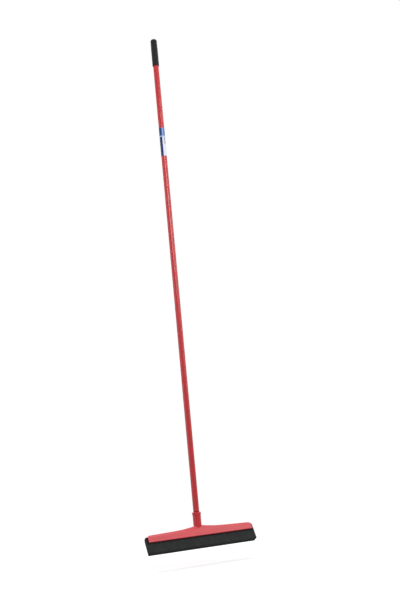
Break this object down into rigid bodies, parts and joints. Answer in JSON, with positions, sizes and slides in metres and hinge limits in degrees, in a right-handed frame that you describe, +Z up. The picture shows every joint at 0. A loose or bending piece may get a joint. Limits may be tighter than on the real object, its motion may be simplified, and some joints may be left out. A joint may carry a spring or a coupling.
{
  "type": "long-handled foam squeegee",
  "caption": "Long coated pole with grip and hanging cap, screwed into an angled moulded head whose slide-in foam strips push water or light snow.",
  "frame": {"origin": "centre of the bounding box's floor, below the blade and the pole", "axes": "+Z up along the pole, +X along the blade, front of the blade towards -Y"},
  "size_m": [0.3744, 0.0584, 1.7683],
  "materials": {
    "tube_steel": "bare steel inside the coating",
    "pole_coating": "smooth glossy red film",
    "label_film": "blue and white film wrap",
    "grip_plastic": "satin black",
    "cap_plastic": "satin black",
    "tip_plastic": "satin dark red",
    "rivet_steel": "zinc plated",
    "head_plastic": "satin moulded red",
    "carrier_plastic": "satin black",
    "foam_rubber": "open-cell black foam",
    "rivet_alloy": "plain"
  },
  "bodies": {
    "handle": {"handle_tube": "tube_steel", "tube_coating": "pole_coating", "label": "label_film", "grip_sleeve": "grip_plastic", "hang_cap": "cap_plastic", "thread_tip": "tip_plastic", "tip_rivet": "rivet_steel"},
    "head": {"head_frame": "head_plastic", "head_socket": "head_plastic"},
    "refill": {"refill_carrier": "carrier_plastic", "front_strip": "foam_rubber", "rear_strip": "foam_rubber", "refill_rivets": "rivet_alloy"}
  },
  "joints": [
    {"name": "head_unscrew", "type": "slide", "parent": "handle", "child": "head", "axis": [0, 0, -1], "range_m": [0, 0.05]},
    {"name": "refill_slide", "type": "slide", "parent": "head", "child": "refill", "axis": [1, 0, 0], "range_m": [0, 0.376]}
  ]
}
